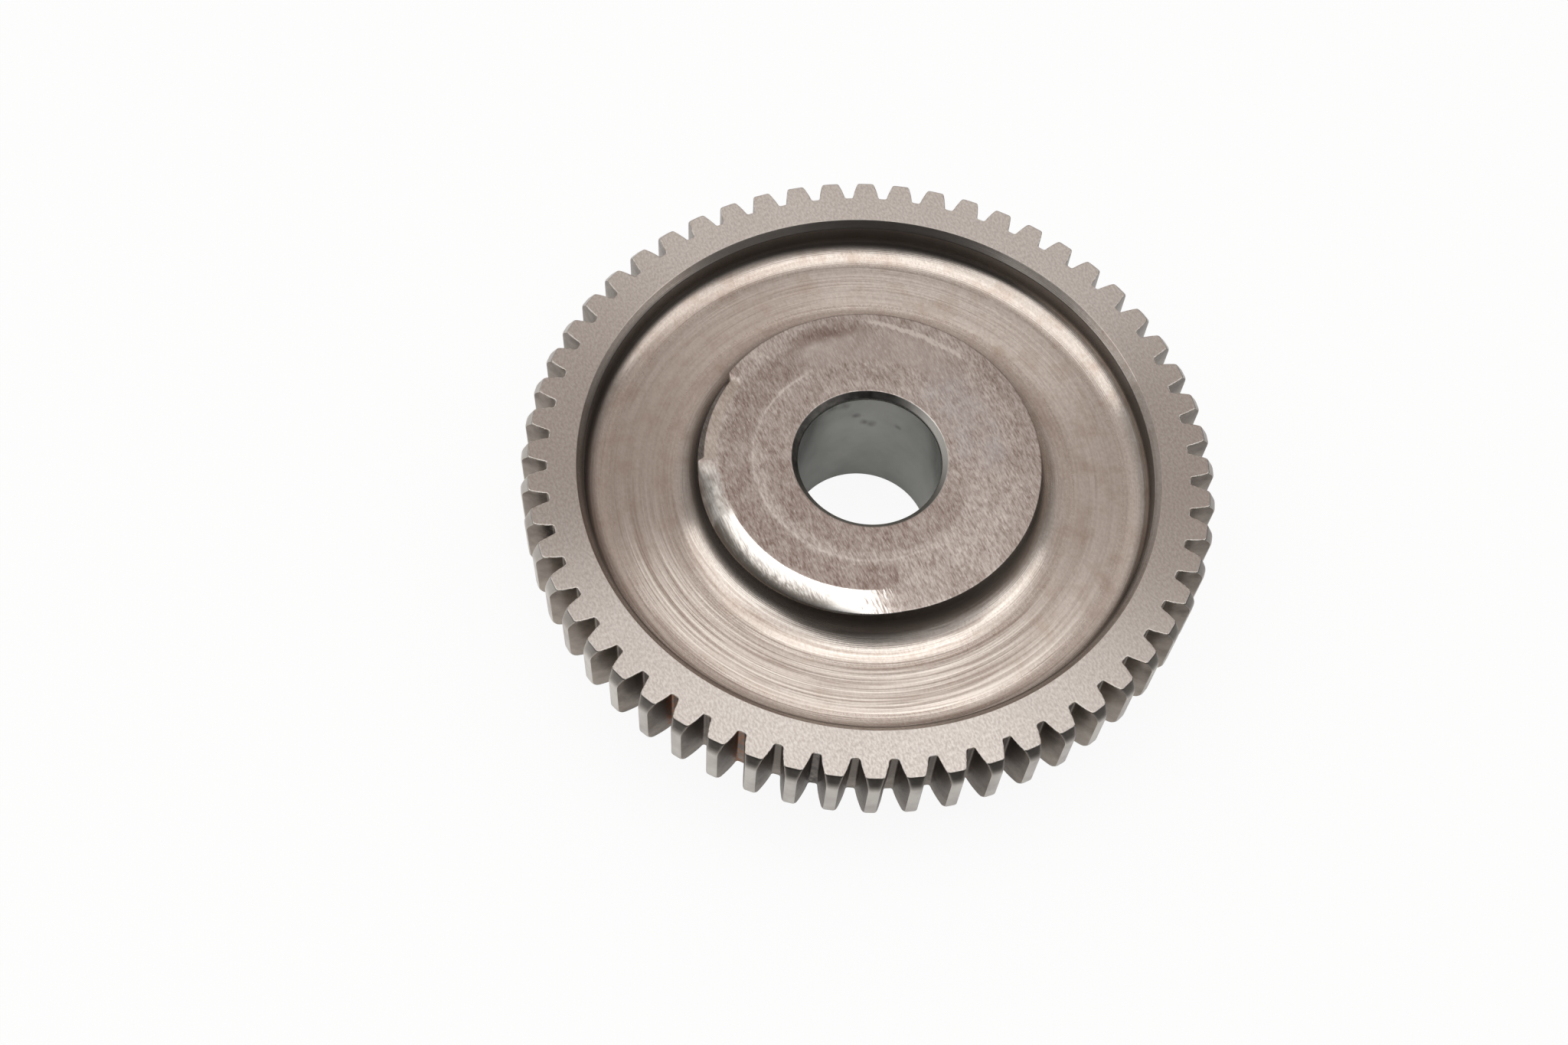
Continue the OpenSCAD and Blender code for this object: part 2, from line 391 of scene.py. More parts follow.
def hub_rows(s, around):
    """Radius, height and shares of the rows over the hub face, its edge and its wall.

    The face is flat out to the crease. From there it falls to the edge as a mix of the way across and
    its fourth power, so that the ground bevel is rounded, and turns down at the edge in a small round.
    Under the edge the wall runs straight down to the ledge of the notch.
    """
    edge, crease, drop, straight, marks = hub_marks(s, around)
    span = edge - crease
    near, soft = 0.22, 0.05

    def fall(u):
        return s.top - drop * (straight * u + (1 - straight) * u ** 4)

    flat = s.top + 0 * around
    rows = [(r + 0 * around, flat, 0, 0) for r in (*FACE_RINGS, crease - near, crease - soft)]
    for reach in (soft, near, 0.35 * span, 0.55 * span, 0.75 * span, span - near, span - EDGE_ROUND):
        rows.append((crease + reach, fall(reach / span), 1, reach / span))
    edge_z = fall(1.0)
    slope = drop * (4 - 3 * straight) / span
    rows += [
        (edge - EDGE_ROUND * 0.25, edge_z - EDGE_ROUND * np.maximum(0.25 - 0.25 * slope, 0), 1, 1),
        (edge, edge_z - EDGE_ROUND, 0.5, 1),
    ]
    wall_z = edge_z - EDGE_ROUND - SUPPORT / 2
    notch = (s.hub_radius - edge) / s.notch_cut
    ledge_z = np.minimum(flat - PLAIN_WALL - (s.notch_height - PLAIN_WALL) * notch, wall_z - 0.01)
    rows += [
        (edge, wall_z, 0, 1), (edge, ledge_z, 0, 1), (s.hub_radius + 0 * around, ledge_z - LEDGE_FALL, 0, 1)
    ]
    radius, height, share, across = zip(*rows)
    ground, strip = marks
    shares = [[k * ground, k * strip, u + 0 * around] for k, u in zip(share, across)]
    return np.array(radius), np.array(height), np.array(shares)


def hub_angles(s, columns):
    """Angles of the inner columns at the hub, closer together at both ends of the notch."""
    even = np.linspace(0, 2 * math.pi, 4000)
    spread = math.radians(1.6)
    ends = (s.notch_start, s.notch_start + s.notch_sweep)
    density = 1 + 4 * sum(np.exp(-((even - end) / spread) ** 2) for end in ends)
    total = np.concatenate([[0], np.cumsum((density[1:] + density[:-1]) / 2)])
    return np.interp(np.linspace(0, 1, columns, endpoint=False), total / total[-1], even)


def evened(values, reach):
    """Values around the axis, made smooth and never raised: means of the lowest within reach."""
    steps = range(-reach, reach + 1)
    lowest = np.min([np.roll(values, k) for k in steps], axis=0)
    return np.mean([np.roll(lowest, k) for k in steps], axis=0)


def inner_grid(s, columns, first_angle):
    """Points and shares of the inner grid, from the back of the rim to the rim face.

    A profile runs over the back, the boss, up the bore, over the hub and through the recess, and is
    carried around the axis. The columns crowd at the notch on the hub and are even at the rim.
    """
    back, floor = s.top - s.face_width, s.top - s.recess_depth
    _, _, root = gear_circles(s)
    recess = root - s.rim_wall
    wall = recess - s.recess_bevel
    bore, bevel, hub = s.bore_radius, s.bore_bevel, s.hub_radius
    edge = BOSS_EDGE_ROUND
    below = rounded_path(
        [(INNER_RING, back), (hub, back), (hub, s.boss_bevel), (hub - s.boss_bevel, 0), (bore + bevel, 0),
         (bore, bevel), (bore, s.top - bevel), (bore + bevel, s.top), (FACE_RINGS[0], s.top)],
        [s.boss_round, edge, edge, edge, edge, *BORE_ROUNDS],
        4,
    )[:-1]
    above = rounded_path(
        [(hub, s.top), (hub, floor), (wall, floor), (wall, s.top - s.recess_bevel),
         (recess, s.top), (INNER_RING, s.top)],
        [s.hub_round, s.rim_round, *RECESS_ROUNDS],
        11,
    )[2:]
    # the rounds are wider than they are high
    for start, side, high, wide in (
        (hub, 1, s.hub_round, s.hub_round_width), (wall, -1, s.rim_round, s.rim_round_width)
    ):
        reach = side * (above[:, 0] - start)
        inside = (reach > 0) & (reach < high + 2 * SUPPORT)
        above[:, 0] = np.where(inside, start + side * reach * wide / high, above[:, 0])
    even = first_angle + np.arange(columns) * 2 * math.pi / columns
    close = first_angle + hub_angles(s, columns)
    hub_r, hub_z, share = hub_rows(s, np.mod(close, 2 * math.pi))
    blend_in = np.linspace(0, 1, len(below))
    blend_out = np.linspace(1, 0, len(above))
    blend = np.concatenate([blend_in, np.ones(len(hub_r)), blend_out])[:, None]
    around = even + (close - even) * blend
    flat = np.ones((1, columns))
    radius = np.vstack([below[:, :1] * flat, hub_r, above[:, :1] * flat])
    # under the notch and the ground bevel the round at the hub is lower
    room = evened(np.minimum((hub_z[-1] - LEDGE_FALL - floor) / s.hub_round, 1), columns // 24)
    near_hub = above[:, :1] < hub + s.hub_round_width
    above_z = np.where(near_hub, floor + (above[:, 1:] - floor) * room, above[:, 1:])
    height = np.vstack([below[:, 1:] * flat, hub_z, above_z])
    plain = [np.zeros((len(rows), columns)) for rows in (below, above)]
    shares = [np.vstack([plain[0], share[:, k], plain[1]]) for k in range(len(SHARES))]
    points = np.stack([radius * np.cos(around), radius * np.sin(around), height], -1)
    return points, shares


# Finishes by their material slots, and the bands of the tooth grid that belong to the rim face, to the
# upper edge of a flank and to the back
RIM, WEB, HUB, BORE, FLANK, TIP, BACK, EDGE = range(8)
RIM_BANDS, EDGE_BANDS, BACK_BANDS = 2, 3, 2
# How far a finish reaches past its edge, and past the ground bevel, in millimetres
FINISH_REACH = 0.02
BEVEL_REACH = 0.5


def grid_faces(rows, columns, start):
    """Corner numbers of the four-sided faces of a grid that closes around the axis."""
    number = start + np.arange(rows * columns).reshape(rows, columns)
    turned = np.roll(number, -1, axis=1)
    return np.stack([number[:-1], number[1:], turned[1:], turned[:-1]], -1)


def join_faces(many, few, outward):
    """Corner numbers of the faces between a ring of many points and a ring of few.

    Each face takes one side of the few and JOIN sides of the many.
    """
    block = np.arange(len(few))[:, None] * JOIN + np.arange(JOIN + 1)[None, :]
    outer = many[block % len(many)]
    inner = np.stack([few, np.roll(few, -1)], -1)
    if outward:
        return np.hstack([inner[:, :1], outer, inner[:, 1:]])
    return np.hstack([outer[:, :1], inner, outer[:, :0:-1]])


def inner_materials(s, points):
    """Which finish each face of the inner grid has, by the radius and height of its middle."""
    corner = (points[:-1] + points[1:]) / 2
    radius = np.hypot(corner[..., 0], corner[..., 1])
    height = corner[..., 2]
    _, _, root = gear_circles(s)
    recess = root - s.rim_wall
    return np.select(
        [
            radius < s.bore_radius + s.bore_bevel + FINISH_REACH,
            height < s.top - s.face_width + FINISH_REACH,
            (radius < s.hub_radius - FINISH_REACH) & (height > s.top - s.ground_drop - BEVEL_REACH),
            radius < recess + FINISH_REACH,
        ],
        [BORE, BACK, HUB, WEB],
        RIM,
    )


def gear_mesh(s):
    """Points, face corners, face sizes, finishes and shares of the gear's mesh.

    It is the tooth grid, the inner grid and the two flat rings that join them.
    """
    teeth, on_land, angles = tooth_grid(s)
    rows, columns = teeth.shape[:2]
    inner, shares = inner_grid(s, columns // JOIN, angles[0])
    split = teeth.reshape(-1, 3)
    points = np.vstack([split, inner.reshape(-1, 3)]) * MM
    tooth_quads = grid_faces(rows, columns, 0)
    inner_quads = grid_faces(*inner.shape[:2], len(split))
    first, last = np.arange(columns), np.arange(columns) + (rows - 1) * columns
    few = inner.shape[1]
    inner_first = len(split) + np.arange(few)
    inner_last = len(points) - few + np.arange(few)
    under = join_faces(last, inner_first, False)
    over = join_faces(first, inner_last, True)

    row = np.arange(rows - 1)[:, None]
    finish = np.where(on_land[None, :], TIP, FLANK) + 0 * row
    finish = np.where((row < RIM_BANDS + EDGE_BANDS) & ~on_land[None, :], EDGE, finish)
    finish = np.where(row < RIM_BANDS, RIM, finish)
    finish = np.where(row >= rows - 1 - BACK_BANDS, BACK, finish)
    inner_finish = inner_materials(s, inner)
    quads = np.vstack([tooth_quads.reshape(-1, 4), inner_quads.reshape(-1, 4)])
    corners = np.concatenate([quads.ravel(), under.ravel(), over.ravel()])
    sides = np.concatenate([
        np.full(len(quads), 4), np.full(len(under), under.shape[1]), np.full(len(over), over.shape[1])
    ])
    finishes = np.concatenate([
        finish.ravel(), inner_finish.ravel(), np.full(len(under), BACK), np.full(len(over), RIM)
    ])
    shares = [np.concatenate([np.zeros(len(split)), share.ravel()]) for share in shares]
    return points, corners, sides, finishes, shares


def make_mesh(name, points, corners, sides, finishes):
    """A smooth mesh from whole arrays of points, face corners, face sizes and material numbers."""
    mesh = bpy.data.meshes.new(name)
    mesh.vertices.add(len(points))
    mesh.vertices.foreach_set("co", points.astype(np.float32).ravel())
    mesh.loops.add(len(corners))
    mesh.loops.foreach_set("vertex_index", corners.astype(np.int32))
    mesh.polygons.add(len(sides))
    starts = np.concatenate([[0], np.cumsum(sides)[:-1]])
    mesh.polygons.foreach_set("loop_start", starts.astype(np.int32))
    mesh.polygons.foreach_set("material_index", finishes.astype(np.int32))
    mesh.polygons.foreach_set("use_smooth", np.ones(len(sides), bool))
    mesh.update(calc_edges=True)
    if mesh.validate(verbose=True):
        raise RuntimeError("the gear's mesh has bad faces")
    return mesh


def add_node(tree, kind, *inputs, out=0, **settings):
    """Adds a shader node with its settings and links, and gives back one of its outputs.

    A kind may end in a dot and an operation. An input is a value, or a socket that is then linked.
    Inputs come in the node's own order, or as one dict by their names or numbers.
    """
    kind, _, operation = kind.partition(".")
    node = tree.nodes.new("ShaderNode" + kind)
    if operation:
        node.operation = operation
    for key, value in settings.items():
        setattr(node, key, value)
    named = inputs[0] if inputs and isinstance(inputs[0], dict) else dict(enumerate(inputs))
    for key, value in named.items():
        if isinstance(value, bpy.types.NodeSocket):
            tree.links.new(value, node.inputs[key])
        else:
            node.inputs[key].default_value = value
    return node.outputs[out] if node.outputs else None


def start_nodes(owner):
    """Empties the nodes of a material or world, and gives back the function that adds nodes to it."""
    owner.use_nodes = True
    owner.node_tree.nodes.clear()
    return partial(add_node, owner.node_tree)


def start_material(name):
    """An empty material, and the function that adds nodes to it."""
    material = bpy.data.materials.new(name)
    return material, start_nodes(material)


# The way in which the faces were wiped, how far the gloss of a turned face is drawn out, and the turn
# that lays it across the rings
GRAIN_DIRECTION = math.radians(119.6)
TURNED_GLOSS = 0.9
ACROSS_RINGS = 0.25


def grain_noise(node, width, stretch, detail=2.0):
    """Noise of grains of that width in millimetres, drawn out the way in which the faces were wiped."""
    scale = 1 / (width * MM)
    place = node("TexCoord", out="Object")
    turned = node("Mapping", {"Vector": place, "Rotation": (0, 0, -GRAIN_DIRECTION)})
    drawn = node("Mapping", {"Vector": turned, "Scale": (scale / stretch, scale, scale)})
    return node("TexNoise", {"Vector": drawn, "Scale": 1.0, "Detail": detail, "Roughness": 0.6})


def ring_noise(node, spacing, turns, detail=2.0):
    """Noise in rings around the axis of that spacing in millimetres, which fade in and out around.

    It reads the radius, and the direction from the axis as a point on a circle, so it has no seam.
    """
    flat = node("VectorMath.MULTIPLY", node("TexCoord", out="Object"), (1, 1, 0))
    across = node("Math.MULTIPLY", node("VectorMath.LENGTH", flat, out="Value"), 1 / (spacing * MM))
    along = node("VectorMath.MULTIPLY", node("VectorMath.NORMALIZE", flat), (turns, turns, 0))
    x, y = (node("SeparateXYZ", along, out=axis) for axis in "XY")
    point = node("CombineXYZ", across, x, y)
    return node("TexNoise", {"Vector": point, "Scale": 1.0, "Detail": detail, "Roughness": 0.6})


def patch_noise(node, size, detail=3.0):
    """Noise in soft patches of that size in millimetres."""
    place = node("TexCoord", out="Object")
    return node("TexNoise", {
        "Vector": place, "Scale": 1 / (size * MM), "Detail": detail, "Roughness": 0.55})


def polar(node, wander=0.0):
    """Radius in millimetres and angle in degrees around the axis.

    Noise makes the place that is read wander by about that many millimetres.
    """
    place = node("TexCoord", out="Object")
    if wander:
        sway = node("TexNoise", {"Vector": place, "Scale": 600.0, "Detail": 3.0}, out="Color")
        middle = node("VectorMath.SUBTRACT", sway, (0.5, 0.5, 0.5))
        place = node("VectorMath.MULTIPLY_ADD", middle, (4 * wander * MM,) * 3, place)
    flat = node("VectorMath.MULTIPLY", place, (1 / MM, 1 / MM, 0))
    x, y = (node("SeparateXYZ", flat, out=axis) for axis in "XY")
    turn = node("Math.DEGREES", node("Math.ARCTAN2", y, x))
    return node("VectorMath.LENGTH", flat, out="Value"), node("Math.WRAP", turn, 360.0, 0.0)


def toward(node, around, degrees):
    """Cosine of the angle between a direction from the axis and the one at so many degrees."""
    turned = node("Math.MULTIPLY_ADD", around, math.radians(1), -math.radians(degrees))
    return node("Math.COSINE", turned)


def band(node, value, low, high, soft):
    """1 where a value lies between low and high, with soft ends."""
    ends = ((low - soft, low + soft), (high + soft, high - soft))
    rise, fall = (node("MapRange", value, *end, interpolation_type="SMOOTHSTEP") for end in ends)
    return node("Math.MULTIPLY", rise, fall)


def face_mark(node, place, radii, angles, soft, soft_angle):
    """1 inside a patch between two radii in millimetres and two angles in degrees."""
    radius, around = place
    return node(
        "Math.MULTIPLY", band(node, radius, *radii, soft), band(node, around, *angles, soft_angle))


def coats(node, base, *layers):
    """Colour of a base under layers of (share, colour), each laid over what comes before it."""
    for share, tint in layers:
        under, over = (v if isinstance(v, bpy.types.NodeSocket) else (*v, 1) for v in (base, tint))
        base = node("Mix", {0: share, 6: under, 7: over}, out=2, data_type="RGBA")
    return base


def bumps(node, *layers):
    """A normal from layers of (height socket, depth in millimetres)."""
    below = {}
    for height, depth in layers:
        normal = node("Bump", {"Height": height, "Strength": 1.0, "Distance": depth * MM, **below})
        below = {"Normal": normal}
    return normal


def bare_metal(node, base, roughness, normal, anisotropic=0.0):
    """Ends a material as bare metal, from what a finish gives back: colour, roughness, normal and gloss.

    A turned face has its gloss drawn out across its rings.
    """
    inputs = {"Base Color": base, "Metallic": 1.0, "Roughness": roughness, "Normal": normal}
    if anisotropic:
        inputs["Anisotropic"] = anisotropic
        inputs["Anisotropic Rotation"] = ACROSS_RINGS
        inputs["Tangent"] = node("Tangent", direction_type="RADIAL", axis="Z")
    node("OutputMaterial", node("BsdfPrincipled", inputs))


def turned_rim_steel(node, c):
    """Steel, face turned with a fine feed and then handled: a matte grain over faint rings."""
    grain = grain_noise(node, 0.26, 1.8)
    rings = ring_noise(node, 0.35, 1.5)
    film = patch_noise(node, 6)
    shade = node("Mix", {"Factor": 0.3, "A": node("MapRange", grain, 0.37, 0.63), "B": film})
    # painted shade: the left and right sides of the rim face are darker and browner
    side = node("Math.ABSOLUTE", toward(node, polar(node)[1], 0))
    shade_strength = node("MapRange", film, 0.3, 0.7, 0.6, 1.2)
    brown = node("Math.MULTIPLY", node("MapRange", side, 0.70, 1.0, 0, 0.26), shade_strength)
    base = coats(node, c.rim_dark, (shade, c.rim), (brown, c.web_dark))
    rough = node("MapRange", grain, 0.3, 0.7, 0.37, 0.31)
    normal = bumps(node, (rings, 0.004), (grain, 0.008))
    return base, rough, normal, TURNED_GLOSS


# Radii of the recess in millimetres: its flat floor, its middle, and where painted shade darkens the hub's
# wall, the rim's wall, that wall on the right where the band is narrower, and the bevel at the back
FLOOR_FLAT = (26.4, 32.4)
FLOOR_MIDDLE = 29.0
HUB_WALL_SHADE = (20, 22.3)
RIM_WALL_SHADE = (35.2, 35.85)
RIGHT_WALL_SHADE = (35.6, 35.75)
BACK_BEVEL_SHADE = (35.6, 36.6)
# Feed marks in millimetres: the real feed is about 0.2, finer than the picture can hold
FEED = 0.3


def feed_lines(node, radius):
    """A wave along the section of both rounds of the recess, one turn for each pass of the tool."""
    height = node("Math.MULTIPLY", node("SeparateXYZ", node("TexCoord", out="Object"), out="Z"), 1 / MM)
    side = node("Math.MULTIPLY_ADD", node("Math.GREATER_THAN", radius, FLOOR_MIDDLE), 2.0, -1.0)
    along = node("Math.MULTIPLY_ADD", radius, side, height)
    return node("Math.SINE", node("Math.MULTIPLY", along, 2 * math.pi / FEED))


def turned_web_steel(node, c):
    """Steel, turned with a coarse feed: satin, with uneven rings that catch the light."""
    rings = ring_noise(node, 0.42, 0.9, 3)
    arcs = ring_noise(node, 0.75, 3.5, 2)
    broad = ring_noise(node, 1.3, 0.8, 2)
    fine = ring_noise(node, 0.16, 0.7, 0)
    grain = grain_noise(node, 0.28, 1.6)
    radius, around = polar(node)
    # the tool marks are deepest in front
    strong = band(node, around, 200, 325, 20)
    marks = node("Mix", {
        "Factor": 0.4, "A": node("MapRange", rings, 0.36, 0.58), "B": node("MapRange", broad, 0.38, 0.58)})
    faint, clear = (node("MapRange", marks, 0, 1, *ends) for ends in ((0.50, 0.80), (0, 1.15)))
    marks = node("MapRange", strong, 0, 1, faint, clear)
    shade = node("Mix", {"Factor": 0.25, "A": marks, "B": node("MapRange", grain, 0.3, 0.7)})
    stain = node("MapRange", patch_noise(node, 3.2, 4), 0.50, 0.72, 0, 0.40)
    stain = node("Math.MULTIPLY", stain, node("MapRange", strong, 0, 1, 1.0, 0.4))
    # painted shade: the left side of the recess floor is darker
    film = node("Math.MULTIPLY", band(node, around, 112, 212, 14), 0.32)
    cuts = node("MapRange", ring_noise(node, 0.5, 2.6, 1), 0.62, 0.70, 0, 0.45)
    cuts = node("Math.MULTIPLY", cuts, node("MapRange", strong, 0, 1, 0.35, 1.0))
    # painted shade darkens the walls of the recess, on the right only the upright part, and the bevel at
    # the back
    wiped = node("MapRange", toward(node, around, 22), 0.75, 0.93)
    oil = node(
        "MapRange", wiped, 0, 1, band(node, radius, *RIM_WALL_SHADE, 0.3), band(node, radius, *RIGHT_WALL_SHADE, 0.12))
    oil = node("Math.ADD", oil, band(node, radius, *HUB_WALL_SHADE, 0.6))
    back = face_mark(node, (radius, around), BACK_BEVEL_SHADE, (44, 138), 0.1, 10)
    oil = node("Math.MAXIMUM", oil, node("Math.MULTIPLY", back, 0.7))
    base = coats(
        node, c.web_dark, (shade, c.web), (stain, c.web_stain), (film, c.web_dark), (cuts, c.web_dark),
        (oil, c.wall))
    # the rounds and walls of the recess were turned finer than its flat floor
    flat = band(node, radius, *FLOOR_FLAT, 1.0)
    rough = node("MapRange", flat, 0, 1, 0.24, node("MapRange", grain, 0.3, 0.7, 0.30, 0.37))
    deep = node(
        "Math.MULTIPLY", node("MapRange", flat, 0, 1, 0.15, 1), node("MapRange", strong, 0, 1, 0.035, 0.10))
    coarse = node("Math.MULTIPLY", rings, deep)
    shallow = node("MapRange", broad, 0.35, 0.6, 0.0004, 0.0022)
    feed = node("Math.MULTIPLY", feed_lines(node, radius), node("MapRange", flat, 0, 1, shallow, 0.0))
    sand = node("Math.MULTIPLY", grain, node("MapRange", flat, 0, 1, 0.0015, 0.008))
    normal = bumps(node, (coarse, 1.0), (arcs, 0.015), (fine, 0.006), (feed, 1.0), (sand, 1.0))
    return base, rough, normal, TURNED_GLOSS


# Marks on the hub face: radii in millimetres, angles in degrees, how soft each is, and change of shade
HUB_MARKS = (
    # brown rub outside the ring that a washer left and, fainter, inside it
    ((14.9, 18.8), (190, 288), 0.4, 5, -0.22),
    ((14.9, 18.8), (127, 190), 0.4, 5, -0.18),
    ((9.0, 13.3), (195, 345), 0.4, 15, -0.20),
    ((9.0, 13.3), (88, 195), 0.4, 15, -0.08),
    # smooth part at the back
    ((14.4, 19.0), (58, 128), 0.6, 8, 0.05),
    # stain at the back edge
    ((18.2, 20.0), (99, 128), 0.8, 6, -0.40),
    # painted shadow in the corner where the notch starts
    ((20.2, 21.8), (150, 156), 0.2, 2, -0.30),
    # smooth border at the back left, beside the notch
    ((18.8, 21.6), (124, 186), 0.3, 6, 0.08),
    # darker outer band on the right
    ((19.25, 21.8), (0, 52), 0.1, 6, -0.09),
    ((19.8, 21.8), (332, 361), 0.1, 6, -0.09),
    # grey rub beside the bore
    ((11.0, 12.9), (0, 64), 0.6, 12, 0.05),
    ((10.2, 11.2), (72, 128), 0.4, 8, 0.12),
    # lighter part at the front right
    ((13.6, 18.8), (312, 350), 0.9, 8, 0.07),
)


def worn_hub_steel(node, c):
    """Steel hub face, rubbed by a washer: brown grain with light strokes, and a bright ground bevel."""
    strokes = grain_noise(node, 0.22, 3.6, 3)
    dashes = grain_noise(node, 0.13, 6.0, 0)
    mottle = patch_noise(node, 2.4, 4)
    loose = polar(node, 0.45)
    smooth = node("Math.MULTIPLY", face_mark(node, loose, (14.4, 19.0), (58, 128), 0.5, 8), 0.6)
    light = node("MapRange", smooth, 0, 1, node("MapRange", strokes, 0.31, 0.69), 0.5)
    shade = node("Mix", {"Factor": 0.28, "A": light, "B": node("MapRange", mottle, 0.25, 0.75)})
    uneven = node("MapRange", strokes, 0.3, 0.7, 0.6, 1.4)
    for radii, angles, soft, soft_angle, change in HUB_MARKS:
        mark = node("Math.MULTIPLY", face_mark(node, loose, radii, angles, soft, soft_angle), uneven)
        shade = node("Math.MULTIPLY_ADD", mark, change, shade)
    # the light ring sits a little off the axis, and is clearest at the back left
    radius, around = polar(node, 0.12)
    washer = node("Math.MULTIPLY_ADD", toward(node, around, 205), -0.3, radius)
    clear = node("Math.ADD", band(node, around, 130, 308, 10), band(node, around, 136, 160, 8))
    ring = node("Math.MULTIPLY", band(node, washer, 14.16, 14.46, 0.14), clear)
    shade = node("Math.MULTIPLY_ADD", ring, 0.21, shade)
    # a bright scrape bends outwards across the back
    off = node("Math.ADD", around, -66.0)
    lean = node("Math.MULTIPLY_ADD", node("Math.MULTIPLY", off, off), -0.0011, radius)
    scrape = node("Math.MULTIPLY", band(node, lean, 19.08, 19.60, 0.25), band(node, around, 60, 95, 7))
    shade = node("Math.MULTIPLY_ADD", scrape, node("MapRange", strokes, 0.35, 0.65, 0.4, 1.3), shade)
    cool = face_mark(node, loose, (10.5, 17.0), (2, 62), 1.2, 8)
    cool = node("Math.MULTIPLY", cool, node("MapRange", mottle, 0.35, 0.65, 0.05, 0.35))
    bright = node("MapRange", dashes, 0.67, 0.80, 0, 0.38)
    ground, strip, across = (node("Attribute", attribute_name=name, out="Fac") for name in SHARES)
    strip = node("Math.MULTIPLY", strip, 0.35)
    worn = coats(
        node, c.hub_dark, (shade, c.hub), (cool, c.hub_cool), (bright, c.ground), (strip, c.strip))
    # the ground bevel is scratched across, and runs out in streaks where its share is under the scratches
    scratch = grain_noise(node, 0.20, 12, 2)
    share = node("Math.SUBTRACT", ground, node("MapRange", scratch, 0.3, 0.7, 0.0, 0.30))
    share = node("MapRange", share, 0.0, 0.12)
    # its outer half is streaked grey, and its start is dull
    _, around = loose
    outer = node("MapRange", node("Math.MULTIPLY_ADD", scratch, 1.3, across), 0.90, 1.45)
    streaked = node("Math.MULTIPLY", outer, band(node, around, 204, 262, 5))
    dull = band(node, around, 150, 211.5, 1.5)
    patches = node("MapRange", patch_noise(node, 1.2, 3), 0.35, 0.65)
    cloud = node("Mix", {"Factor": 0.5, "A": patches, "B": node("MapRange", scratch, 0.35, 0.65)})
    # where it is dull, its inner border is lost in the worn face
    lost = node("MapRange", node("Math.MULTIPLY_ADD", cloud, 0.5, across), 0.25, 0.60)
    share = node("Math.MULTIPLY", share, node("MapRange", dull, 0, 1, 1.0, lost))
    brown, dark = (
        node("Math.MULTIPLY", band(node, around, 150, *end), 0.5) for end in ((196, 6), (190, 1.5)))
    clouded = coats(node, c.ground_streak, (cloud, c.ground))
    bevel = coats(
        node, c.ground, (streaked, c.ground_streak), (dull, clouded), (brown, worn), (dark, c.hub_dark))
    base = coats(node, worn, (share, bevel))
    rough_worn = node("MapRange", strokes, 0.3, 0.7, 0.44, 0.37)
    rough_ground = node("MapRange", dull, 0, 1, node("MapRange", streaked, 0, 1, 0.24, 0.36), 0.42)
    rough = node("MapRange", share, 0, 1, rough_worn, rough_ground)
    low, high = (node("Math.MULTIPLY", *layer) for layer in ((strokes, 0.014), (scratch, 0.010)))
    normal = bumps(node, (node("MapRange", share, 0, 1, low, high), 1.0))
    return base, rough, normal


# Smudges in the bore: angle in degrees, height and size in millimetres
BORE_SMUDGES = (
    (105.6, 16.1, 1.0), (92, 14.1, 1.1), (97, 14.4, 0.9), (68.8, 15.0, 0.9),
    (116, 19.0, 1.4), (128, 19.4, 1.5), (70, 20.2, 1.0), (300, 8.0, 0.9),
)
# Radius of the bore, and the radii between which its bevel starts, in millimetres
SMUDGE_RADIUS = 9.0
BEVEL_START = (9.02, 9.12)


def honed_bore_steel(node, c):
    """Steel bore, honed and run: smooth and cool grey, with a few dark smudges."""
    fine = grain_noise(node, 0.2, 1.0)
    place = node("TexCoord", out="Object")
    wobble = node("TexNoise", {"Vector": place, "Scale": 900.0, "Detail": 3.0})
    smudge = 0.0
    for degrees, height, size in BORE_SMUDGES:
        turn = math.radians(degrees)
        spot = Vector((SMUDGE_RADIUS * math.cos(turn), SMUDGE_RADIUS * math.sin(turn), height)) * MM
        away = node("VectorMath.DISTANCE", place, spot, out="Value")
        loose = node("Math.MULTIPLY_ADD", wobble, size * MM, away)
        dark = node("MapRange", loose, 0.5 * size * MM, 1.4 * size * MM, 0.75, 0)
        smudge = node("Math.MAXIMUM", smudge, dark)
    film = node("MapRange", patch_noise(node, 4), 0.35, 0.75, 0.0, 0.3)
    radius, around = polar(node)
    # the bore is darker on its left side
    film = node("Math.MULTIPLY_ADD", band(node, around, 140, 225, 20), 0.45, film)
    # the bevel was turned; at the back it is darkened with painted shade
    bevel = node("MapRange", radius, *BEVEL_START)
    shade_strength = node("MapRange", wobble, 0.3, 0.7, 0.75, 1.0)
    oil = node("Math.MULTIPLY", band(node, around, 60, 210, 20), shade_strength)
    shaded_bevel_colour = coats(node, c.tip, (oil, c.wall))
    base = coats(node, c.bore, (node("Math.MAXIMUM", smudge, film), c.bore_smudge), (bevel, shaded_bevel_colour))
    rough = node("MapRange", bevel, 0, 1, node("MapRange", fine, 0.3, 0.7, 0.22, 0.27), 0.33)
    return base, rough, bumps(node, (fine, 0.002))


# Tooth gaps that hold rust, and those that hold dark grime, by their angles in degrees
RUSTY_GAPS = (241.1, 254.0)
GRIMY_GAPS = (266.8, 202.5, 180.0)
# Half the angle that such dirt takes up, and the radius in millimetres where it starts
DIRT_ANGLE = 1.6
DIRT_START = 38
# Heights in metres between which the flanks grow darker towards the top, and between which the tip bevel
# starts
FILM_HEIGHTS = (0.0125, 0.0195)
TIP_BEVEL_HEIGHTS = (0.0190, 0.0197)


